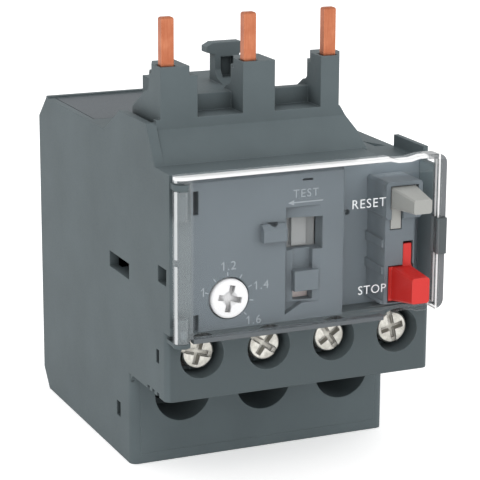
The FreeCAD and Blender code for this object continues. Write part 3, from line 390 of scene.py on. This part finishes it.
def case_zones(tree):
    """In the button recess the painted corner shade is cut and the inner wall is painted lighter; the front
    of the terminal block is darker, its sill paler.
    """
    spot, turned = where(tree)
    faces_front = below(tree, turned["Y"], -0.95, 0.15)
    faces_left = below(tree, turned["X"], -0.9, 0.4)
    soft = 0.3 * MM
    recess = product(tree, above(tree, spot["X"], RECESS_LEFT, MM), above(tree, spot["Z"], BLOCK_TOP, soft))
    inward = product(tree, recess, faces_left, below(tree, spot["Z"], BLOCK_TOP + 22 * MM, MM))
    block = product(tree, faces_front, below(tree, spot["Z"], BLOCK_TOP, soft),
                    above(tree, spot["Z"], BLOCK_LOW - soft, soft))
    sill = product(tree, above(tree, spot["Z"], BLOCK_TOP, 0.05 * MM, full=0.3),
                   below(tree, spot["Y"], PANEL_FACE + 2 * MM, MM),
                   below(tree, spot["Z"], BLOCK_TOP + 1.2 * MM, 0.1 * MM), faces_front)
    # painted corner shade cut in the recess, block front darker, painted light on the inner wall, sill
    # paler
    return product(tree, recess, 0.8), block, largest(tree, inward, sill)


def fascia_zones(tree):
    """Behind the front plane the painted corner shade is cut and the fascia is painted lighter, most of all
    at the top.
    """
    spot, turned = where(tree)
    behind = above(tree, spot["Y"], PANEL_FACE + MM, 2 * MM)
    paler = spread(tree, spot["Z"], BLOCK_TOP + 15 * MM, BLOCK_TOP + 22 * MM, 0.18, 0.55)
    return product(tree, behind, 0.6), 0.0, product(tree, behind, paler)


def tab_zones(tree):
    """The tab is set into the clear cover; its left side is painted lighter."""
    spot, turned = where(tree)
    return 0.0, 0.0, below(tree, turned["X"], -0.8, 0.3)


print("zones: case, fascia, tab")

# %% [markdown]
# ## The finishes
# The case is grey glass-filled polyamide, the fascia a smoother grade of the same grey.  The buttons,
# dial, key and flag are coloured mouldings.  Blades are bare copper, screws and clamps plated steel,
# cages zinc-plated steel.  Each finish gets its own numbers from one of the two recipes.

# %% Finishes by recipe
EVEN = (1.0, 1.0, 1.0)
finishes = {
    "case_grey": plastic("case_grey", CASE_GREY, rgb(112, 123, 126), rough=0.6, specular=0.16,
                         cavity_shade=0.65, reach=0.003, zones=case_zones),
    "panel_grey": plastic("panel_grey", rgb(113, 122, 128), rgb(123, 132, 138), grain=5200.0, depth=0.2,
                          drift=0.04, cavity_shade=0.3, zones=fascia_zones),
    "label": plastic("label", rgb(80, 87, 92), rgb(94, 101, 105), grain=6000.0, depth=0.12, drift=0.03),
    "knob_grey": plastic("knob_grey", rgb(167, 168, 164), rgb(196, 197, 193), rough=0.42, depth=0.15,
                         drift=0.04, specular=0.4),
    "stop_red": plastic("stop_red", rgb(212, 45, 40), rgb(232, 82, 75), rough=0.38, depth=0.12, drift=0.05,
                        specular=0.4),
    "dial_white": plastic("dial_white", rgb(253, 253, 254), rgb(255, 255, 255), rough=0.4, depth=0.1,
                          drift=0.01, specular=0.4, cavity_shade=0.7, reach=0.0016),
    "key_grey": plastic("key_grey", rgb(164, 166, 166), rgb(184, 186, 186), rough=0.45, depth=0.15,
                        drift=0.05),
    "flag_pale": plastic("flag_pale", rgb(240, 226, 222), rgb(248, 238, 234), rough=0.45, depth=0.15,
                         drift=0.04),
    "tab_grey": plastic("tab_grey", rgb(86, 92, 94), rgb(108, 114, 116), rough=0.4, depth=0.2,
                        zones=tab_zones),
    "cover_rim": plastic("cover_rim", rgb(92, 98, 102), rgb(112, 118, 122), rough=0.2, depth=0.1,
                         drift=0.05, specular=0.5),
    "inner_plastic": plastic("inner_plastic", rgb(222, 216, 202), rgb(236, 232, 220), depth=0.2),
    "copper": metal("copper", rgb(198, 130, 98), rgb(166, 96, 68), rough=0.38),
    "nickel": metal("nickel", rgb(240, 238, 230), rgb(158, 156, 148), rough=0.34, stretch=EVEN,
                    scale=1700.0, cavity_shade=0.95, cavity_shade_colour=rgb(158, 155, 147)),
    "clamp_steel": metal("clamp_steel", rgb(96, 94, 90), rgb(66, 64, 62), rough=0.4, scale=2600.0),
    "spring_steel": metal("spring_steel", rgb(200, 200, 202), rgb(150, 150, 154), rough=0.22),
    "bimetal": metal("bimetal", rgb(190, 186, 178), rgb(150, 146, 140), rough=0.35),
    "ribbon": metal("ribbon", rgb(120, 112, 106), rgb(84, 78, 74), rough=0.45),
    "contact_brass": metal("contact_brass", rgb(214, 186, 122), rgb(176, 146, 90), rough=0.28),
    "cage_steel": metal("cage_steel", rgb(188, 188, 184), rgb(142, 142, 140), rough=0.34,
                        stretch=(1.0, 0.1, 1.0)),
}
finishes["cover_rim"].node_tree.nodes["Principled BSDF"].inputs["Alpha"].default_value = 0.92
print(len(finishes), "finishes from two recipes")

# %% [markdown]
# ## The clear cover
# The cover is clear polycarbonate one millimetre thick.  Seen square on it nearly vanishes.  Its rims
# are seen through their whole depth, so they look milky, and its edges catch the light.  The finish
# therefore lets the front through and shows more of itself on rims; its edges get painted highlights in
# white, and at a slant it gets a painted reflection.

# %% Clear plastic
WAVE_X = 15.2 * MM             # lowest place of the wave in the upper edge
WAVE_DIP = 0.35 * MM
COVER_RIPPLE = 0.05 * MM
BARREL_LIGHT = (-0.883, -0.469)    # the way a spot of the hinge barrel faces where its painted highlight lies, in X and Y
FRONT_VEIL = 0.012             # what the cover shows of itself, seen square on
SHADOW_PASS = 0.85             # how much weaker the shadow is than the veil


def clear_plastic():
    """Each mask below is a place where the cover shows; together they make its veil, painted highlights and
    painted reflection among them.
    """
    material, tree, shader = blank_material("clear_cover")
    texture = place_group(tree, GRAIN, Grain_Scale=1500.0, Drift_Scale=60.0)
    edge = place_group(tree, EDGE, Radius=0.0004)
    spot, turned = where(tree)
    left, right = low("cover_flap").x, high("cover_flap").x
    front, top = low("cover_flap").y, high("cover_flap").z

    def near(axis, place, full, none):
        """1 up to `full` millimetres from a plane across an axis, falling to 0 at `none`."""
        away = maths(tree, "ABSOLUTE", maths(tree, "SUBTRACT", spot[axis], place))
        return spread(tree, away, full * MM, none * MM, 1.0, 0.0)

    # rims, seen through their depth
    rim = spread(tree, maths(tree, "ABSOLUTE", turned["Y"]), 0.2, 0.9, 1.0, 0.0)
    outer = largest(tree, near("X", right, 0.5, 0.8), near("Z", top, 0.6, 0.8))
    corner = product(tree, near("X", right, 3.2, 3.6), near("Z", top, 0.7, 0.8))
    flange = near("X", right, 0.8, 0.9)
    step = near("X", right, 1.2, 1.3)
    barrel = near("X", left, 2.6, 2.8)

    # painted highlights in white: along the waved upper edge, down the right side and down the barrel
    dip = product(tree, near("X", WAVE_X, 1.1, 2.5), WAVE_DIP)
    under = maths(tree, "SUBTRACT", maths(tree, "SUBTRACT", top, dip), spot["Z"])
    glint = product(tree, below(tree, under, 0.45 * MM, 0.1 * MM), near("Y", front, 1.2, 1.4),
                    maths(tree, "SUBTRACT", 1.0, corner))
    line = near("X", right - 1.3 * MM, 0.1, 0.2)
    turn = maths(tree, "ADD", product(tree, turned["X"], BARREL_LIGHT[0]),
                 product(tree, turned["Y"], BARREL_LIGHT[1]))
    shine = product(tree, spread(tree, turn, 0.96, 0.985, 0.0, 1.0), near("X", left, 0.4, 0.5))

    # painted highlights on cut edges near the fourth screw, and a painted reflection over the whole cover
    # at a slant
    low_edge = product(tree, edge.outputs["Mask"], near("Z", BLOCK_TOP, 0.8, 1.2),
                       near("X", right, 11.5, 12.0))
    slant = add(tree, "ShaderNodeLayerWeight", Blend=0.25)

    # how much each place adds to the veil
    veil = product(tree, rim, outer, 0.3)
    for share, strength in ((edge.outputs["Mask"], 0.05), (low_edge, 0.4), (corner, 0.7),
                            (slant.outputs["Fresnel"], 0.08), (glint, 0.9), (shine, 0.6), (line, 0.75),
                            (step, 0.25), (flange, 0.5), (barrel, 0.13)):
        veil = maths(tree, "ADD", veil, product(tree, share, strength))
    veil = maths(tree, "ADD", veil, FRONT_VEIL, clamp=True)
    paths = add(tree, "ShaderNodeLightPath")
    passed = maths(tree, "SUBTRACT", 1.0, product(tree, paths.outputs["Is Shadow Ray"], SHADOW_PASS))
    link(tree, product(tree, veil, passed), shader.inputs["Alpha"])

    milky = mix(tree, texture.outputs["Drift"], rgb(186, 194, 197), rgb(206, 212, 215))
    milky = mix(tree, largest(tree, flange, corner), milky, rgb(118, 122, 125))
    # painted highlights: white where the glint, the side line and the barrel shine lie
    bright = largest(tree, glint, line, product(tree, shine, 0.5))
    link(tree, mix(tree, bright, milky, rgb(255, 255, 255)), shader.inputs["Base Color"])
    link(tree, spread(tree, texture.outputs["Height"], 0.0, 0.5, 0.05, 0.14), shader.inputs["Roughness"])
    relief(tree, shader, texture.outputs["Drift"], edge, 0.05, COVER_RIPPLE)
    shader.inputs["IOR"].default_value = 1.58
    return material


finishes["clear_cover"] = clear_plastic()
print("clear cover: front veil about 1 percent")

# %% [markdown]
# ## Dressing the pieces
# The record names one finish for each piece.  The shapes stay as they are; only the slots are filled.

# %% Give every piece its finish
slot_of = {part["node"]: part["material_slot"] for part in frame["record"]["subparts"]}
for name, piece in nodes.items():
    for place in piece.material_slots:
        place.material = finishes[slot_of[name]]
print("dressed", len(nodes), "pieces with", len(set(slot_of.values())), "finishes")

# %% [markdown]
# ## Two inks
# The words beside the buttons are pad-printed in white.  The word over the test key, the arrow below it
# and the scale of the dial are printed in pale grey.  An ink could be one even colour; here it takes a
# little of the plastic's grain, because real ink is thin and not quite even.

# %% Two inks
def ink(name, thin, full):
    """Pad-printed ink: a little uneven, because it takes the grain of the plastic under it."""
    material, tree, shader = blank_material(name)
    texture = place_group(tree, GRAIN, Grain_Scale=9000.0, Drift_Scale=800.0)
    link(tree, mix(tree, texture.outputs["Drift"], thin, full), shader.inputs["Base Color"])
    link(tree, spread(tree, texture.outputs["Height"], 0.0, 0.5, 0.45, 0.6), shader.inputs["Roughness"])
    return material


WHITE_INK = ink("white_ink", rgb(226, 230, 232), rgb(246, 248, 249))
GREY_INK = ink("grey_ink", rgb(150, 158, 164), rgb(168, 176, 181))
INK_T = 0.03 * MM
print("ink thickness", INK_T / MM, "mm")

# %% [markdown]
# ## Lettering
# A text curve gives clean letter shapes.  It is given a hair of thickness, made a mesh, scaled to its
# printed height and laid on its plane.  The "1" of this typeface is a plain bar, so a leading "1" gets a
# small flag that makes it read as a number.  A finished object stays at the origin, with its place in its
# mesh.

# %% Lettering
ONE_FLAG = [(0.05, 1.0), (-0.22, 0.74), (-0.22, 0.63), (0.05, 0.86)]    # in heights of the "1"


def worked_out(maker):
    """The plain mesh that an object makes from its curve or its nodes.  The object itself goes away."""
    bpy.context.scene.collection.objects.link(maker)
    bpy.context.view_layer.update()
    mesh = bpy.data.meshes.new_from_object(maker.evaluated_get(bpy.context.evaluated_depsgraph_get()))
    maker.modifiers.clear()
    bpy.data.objects.remove(maker)
    return mesh


def prism(front, back):
    """Points and faces of a flat closed shape with its copy behind it, joined at the sides."""
    count = len(front)
    faces = [list(range(count)), list(range(2 * count - 1, count - 1, -1))]
    for i in range(count):
        j = (i + 1) % count
        faces.append([i, count + i, count + j, j])
    return front + back, faces


def printed_shape(outline, plane):
    """A flat shape of ink from its (x, z) outline in millimetres, lying on an upright plane."""
    return prism(*([(x * MM, depth, z * MM) for x, z in outline] for depth in (plane - INK_T, plane)))


def mesh_from(name, points, faces):
    mesh = bpy.data.meshes.new(name)
    mesh.from_pydata(points, [], faces)
    return mesh


def finish_mesh(name, mesh, material, body):
    """Turn a mesh into a finished piece that rides on a body."""
    mesh.materials.clear()
    mesh.materials.append(material)
    piece = bpy.data.objects.new(name, mesh)
    bpy.context.scene.collection.objects.link(piece)
    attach(piece, body)
    return piece


def printed(name, words, colour, body, plane, spacing=1.1, weight=0.0):
    """One mesh of printed words: each word is (text, left, bottom, height) in millimetres."""
    points = []
    faces = []
    for text, left, bottom, height in words:
        curve = bpy.data.curves.new(name + "_curve", "FONT")
        curve.body = text
        curve.extrude = 0.5
        curve.offset = weight
        curve.space_character = spacing
        curve.resolution_u = 3
        letters = worked_out(bpy.data.objects.new(name + "_writer", curve))
        xs = [v.co.x for v in letters.vertices]
        ys = [v.co.y for v in letters.vertices]
        scale = height * MM / (max(ys) - min(ys))
        shapes = [([(left * MM + (v.co.x - min(xs)) * scale, plane - (v.co.z + 0.5) * INK_T,
                     bottom * MM + (v.co.y - min(ys)) * scale) for v in letters.vertices],
                   [face.vertices for face in letters.polygons])]
        if text.startswith("1"):
            flag = [(left + x * height, bottom + z * height) for x, z in ONE_FLAG]
            shapes.append(printed_shape(flag, plane))
        for shape_points, shape_faces in shapes:
            start = len(points)
            points += shape_points
            faces += [[start + i for i in face] for face in shape_faces]
    return finish_mesh(name, mesh_from(name, points, faces), colour, body)


printed("reset_word", [("RESET", 6.3, 43.75, 1.4)], WHITE_INK, "cover", COVER_FACE,
        spacing=1.13, weight=-0.004)
printed("stop_word", [("STOP", 7.55, 30.1, 1.35)], WHITE_INK, "cover", COVER_FACE,
        spacing=1.08, weight=-0.004)
printed("test_word", [("TEST", -2.2, 45.65, 1.25)], GREY_INK, "case", PANEL_FACE,
        spacing=1.16, weight=-0.004)
printed("dial_numbers", [("1", -17.0, 31.8, 1.35), ("1.2", -13.7, 35.5, 1.35), ("1.4", -8.3, 31.95, 1.35),
                         ("1.6", -9.55, 26.6, 1.35)], GREY_INK, "case", PANEL_FACE, spacing=1.12)
print("printed marks made")

# %% [markdown]
# ## Scale ticks round the dial
# Seven short ticks stand on an arc round the dial.  They repeat by a rule, so a Geometry Nodes tree
# makes them: points on an arc, one bar on each, turned to face the centre.  Its sizes are named inputs.

# %% Tick ring
def tick_tree():
    tree = bpy.data.node_groups.new("tick_ring", "GeometryNodeTree")
    for title, kind, value in (("Count", "NodeSocketInt", 7), ("Radius", "NodeSocketFloat", 0.0044),
                               ("Start", "NodeSocketFloat", 0.0), ("Sweep", "NodeSocketFloat", 3.6),
                               ("Bar", "NodeSocketVector", (0.0006, 0.00017, 0.00006)),
                               ("Ink", "NodeSocketMaterial", None)):
        socket = tree.interface.new_socket(title, in_out="INPUT", socket_type=kind)
        if value is not None:
            socket.default_value = value
    tree.interface.new_socket("Geometry", in_out="OUTPUT", socket_type="NodeSocketGeometry")
    given = tree.nodes.new("NodeGroupInput")
    result = tree.nodes.new("NodeGroupOutput")
    points = tree.nodes.new("GeometryNodePoints")
    link(tree, given.outputs["Count"], points.inputs["Count"])
    index = tree.nodes.new("GeometryNodeInputIndex")
    steps = maths(tree, "SUBTRACT", given.outputs["Count"], 1.0)
    angle = maths(tree, "DIVIDE", index.outputs[0], steps)
    angle = maths(tree, "ADD", product(tree, angle, given.outputs["Sweep"]), given.outputs["Start"])
    spot = tree.nodes.new("ShaderNodeCombineXYZ")
    for operation, axis in (("COSINE", "X"), ("SINE", "Y")):
        link(tree, product(tree, maths(tree, operation, angle), given.outputs["Radius"]), spot.inputs[axis])
    link(tree, spot.outputs[0], points.inputs["Position"])
    bar = tree.nodes.new("GeometryNodeMeshCube")
    link(tree, given.outputs["Bar"], bar.inputs["Size"])
    turn = tree.nodes.new("ShaderNodeCombineXYZ")
    link(tree, angle, turn.inputs["Z"])
    copies = tree.nodes.new("GeometryNodeInstanceOnPoints")
    link(tree, points.outputs[0], copies.inputs["Points"])
    link(tree, bar.outputs["Mesh"], copies.inputs["Instance"])
    link(tree, turn.outputs[0], copies.inputs["Rotation"])
    real = tree.nodes.new("GeometryNodeRealizeInstances")
    link(tree, copies.outputs[0], real.inputs[0])
    paint = tree.nodes.new("GeometryNodeSetMaterial")
    link(tree, real.outputs[0], paint.inputs["Geometry"])
    link(tree, given.outputs["Ink"], paint.inputs["Material"])
    link(tree, paint.outputs[0], result.inputs[0])
    return tree


def run_tree(tree, values):
    """Run a Geometry Nodes tree on an empty mesh and hand back the plain mesh it makes."""
    holder = bpy.data.objects.new(tree.name + "_holder", bpy.data.meshes.new(tree.name))
    modifier = holder.modifiers.new(tree.name, "NODES")
    modifier.node_group = tree
    for item in tree.interface.items_tree:
        if item.in_out == "INPUT" and item.name in values:
            modifier[item.identifier] = values[item.name]
    return worked_out(holder)


def stand_on(mesh, x, y, z):
    """Lay a flat mesh drawn in XY on an upright plane that faces -Y."""
    mesh.transform(Matrix.Translation(Vector((x, y, z))) @ Euler((math.pi / 2, 0, 0)).to_matrix().to_4x4())


TICK_GAP = 0.75 * MM           # from the edge of the dial to the middle of a tick
ticks = run_tree(tick_tree(), {"Start": math.radians(-45.0), "Sweep": math.radians(207.0),
                               "Radius": DIAL_R + TICK_GAP, "Ink": GREY_INK})
stand_on(ticks, DIAL_X, PANEL_FACE - INK_T / 2, DIAL_Z)
finish_mesh("dial_ticks", ticks, GREY_INK, "case")
print("ticks:", len(ticks.polygons) // 6)

# %% [markdown]
# ## The arrow over the test key
# A thin arrow shows which way the key slides.  No typeface has one of this length, so its outline is
# drawn in millimetres, the lower half as the mirror of the upper one, and given the thickness of ink.

# %% Test arrow
ARROW_TIP = -3.06
ARROW_END = 2.81
ARROW_Z = 44.9
HEAD_LONG = 1.0
HEAD_HALF = 0.4
SHAFT_HALF = 0.09
NECK = ARROW_TIP + HEAD_LONG
half_arrow = [(NECK, HEAD_HALF), (NECK, SHAFT_HALF), (ARROW_END, SHAFT_HALF)]
arrow = [(ARROW_TIP, ARROW_Z)] + [(x, ARROW_Z + z) for x, z in half_arrow]
arrow += [(x, ARROW_Z - z) for x, z in reversed(half_arrow)]
arrow_mesh = mesh_from("test_arrow", *printed_shape(arrow, PANEL_FACE))
finish_mesh("test_arrow", arrow_mesh, GREY_INK, "case")
print("arrow made")

# %% [markdown]
# ## Lower lip of the cover
# The clear cover ends in a thin lip that hangs a little over the terminal block.  It is seen through its
# whole depth, so it looks grey.  A box would give two hard lines in front, so it is a bar drawn from its
# profile, with both front corners broken.

# %% Cover lip
LIP_GAP = 0.05 * MM
LIP_HIGH = 0.75 * MM
LIP_DEEP = 1.3 * MM
LIP_BREAK = 0.1 * MM
LIP_LEFT = low("cover_flap").x + 2.75 * MM      # where the hinge barrel ends
LIP_RIGHT = high("cover_flap").x - 10.4 * MM    # where the fourth screw stands free
lip_top = BLOCK_TOP - LIP_GAP
lip_low = lip_top - LIP_HIGH
lip_back = COVER_FACE + LIP_DEEP
lip = [(COVER_FACE, lip_low + LIP_BREAK), (COVER_FACE + LIP_BREAK, lip_low), (lip_back, lip_low),
       (lip_back, lip_top), (COVER_FACE + LIP_BREAK, lip_top), (COVER_FACE, lip_top - LIP_BREAK)]
lip_ends = [[(x, y, z) for y, z in lip] for x in (LIP_RIGHT, LIP_LEFT)]
lip_mesh = mesh_from("cover_lip", *prism(*lip_ends))
finish_mesh("cover_lip", lip_mesh, finishes["cover_rim"], "cover")
print("cover lip", round(LIP_HIGH / MM, 2), "mm high")

# %% [markdown]
# ## Floor
# The relay stands on a plain white floor.  A floor lit bright enough to look white would also light the
# relay from below.  This one glows only for the eye and for mirrors, and stays dim for all other light.

# %% Floor
FLOOR_REACH = 4.0
FLOOR_DROP = 0.05 * MM
FLOOR_GLOW = 0.45


def looked_at(tree):
    """1 for rays that see a thing directly, in a mirror or through something clear; 0 for the rest."""
    paths = add(tree, "ShaderNodeLightPath")
    seen = maths(tree, "ADD", paths.outputs["Is Camera Ray"], paths.outputs["Is Glossy Ray"])
    return maths(tree, "ADD", seen, paths.outputs["Is Transmission Ray"], clamp=True)


def white_floor():
    material, tree, shader = blank_material("floor_white")
    shader.inputs["Base Color"].default_value = (0.9, 0.9, 0.9, 1.0)
    shader.inputs["Roughness"].default_value = 0.9
    shader.inputs["Specular IOR Level"].default_value = 0.0
    shader.inputs["Emission Color"].default_value = (1.0, 1.0, 1.0, 1.0)
    link(tree, product(tree, looked_at(tree), FLOOR_GLOW), shader.inputs["Emission Strength"])
    return material


corners = [(x * FLOOR_REACH, y * FLOOR_REACH, -FLOOR_DROP) for x, y in ((-1, -1), (1, -1), (1, 1), (-1, 1))]
floor_mesh = mesh_from("floor", corners, [(0, 1, 2, 3)])
floor_mesh.materials.append(white_floor())
floor = bpy.data.objects.new("floor", floor_mesh)
bpy.context.scene.collection.objects.link(floor)
print("floor", 2 * FLOOR_REACH, "m wide")

# %% [markdown]
# ## World and lamps
# The world gives an even light from all sides, as a white tent round the object does.  Alone it would
# leave the shapes flat.  A key lamp above the left front adds shape, a front lamp lights the wells, and a
# fill lamp at the right keeps that side from going dark.  Large lamps keep the shadows soft.

# %% World and lamps
WORLD_LIGHT = 0.93     # what the world throws on the relay
WORLD_SEEN = 1.0       # how bright it looks itself
AIM = Vector((0.0, 0.0, 0.03))

world = bpy.data.worlds.new("studio")
bpy.context.scene.world = world
world.use_nodes = True
tree = world.node_tree
background = tree.nodes["Background"]
background.inputs["Color"].default_value = (1.0, 1.0, 1.0, 1.0)
link(tree, spread(tree, looked_at(tree), 0.0, 1.0, WORLD_LIGHT, WORLD_SEEN), background.inputs["Strength"])

for name, place, size, watts in (("key_lamp", (-0.45, -0.6, 0.6), 0.6, 1.0),
                                 ("front_lamp", (0.05, -0.9, 0.15), 0.5, 0.8),
                                 ("fill_lamp", (0.7, -0.5, 0.25), 0.6, 0.85)):
    light = bpy.data.lights.new(name, "AREA")
    light.size = size
    light.energy = watts
    holder = bpy.data.objects.new(name, light)
    holder.location = place
    holder.rotation_euler = (AIM - Vector(place)).to_track_quat("-Z", "Y").to_euler()
    bpy.context.scene.collection.objects.link(holder)
print("studio light ready")

# %% [markdown]
# ## Camera
# A long lens looks from the left front and slightly from above.  Its place follows from two angles, a
# distance and the point it looks at; the roll tips the view a touch.

# %% Camera
AZIMUTH = math.radians(-23.82)
ELEVATION = math.radians(14.82)
ROLL = math.radians(0.265)
DISTANCE = 0.3369
TARGET = Vector((0.0020, 0.0040, 0.0315))
LENS = 151.96
SENSOR = 36.0

back = Vector((math.sin(AZIMUTH) * math.cos(ELEVATION), -math.cos(AZIMUTH) * math.cos(ELEVATION),
               math.sin(ELEVATION)))
right = Vector((math.cos(AZIMUTH), math.sin(AZIMUTH), 0.0))
up = back.cross(right)
rolled_right = right * math.cos(ROLL) + up * math.sin(ROLL)
rolled_up = up * math.cos(ROLL) - right * math.sin(ROLL)
lens = bpy.data.cameras.new("camera")
lens.lens = LENS
lens.sensor_width = SENSOR
lens.clip_start = 0.01
lens.clip_end = 20.0
camera = bpy.data.objects.new("camera", lens)
turn = Matrix((rolled_right, rolled_up, back)).transposed().to_4x4()
camera.matrix_world = Matrix.Translation(TARGET + back * DISTANCE) @ turn
bpy.context.scene.collection.objects.link(camera)
bpy.context.scene.camera = camera
bpy.context.scene.view_settings.view_transform = "Standard"
print("camera at", [round(v, 4) for v in camera.matrix_world.translation])
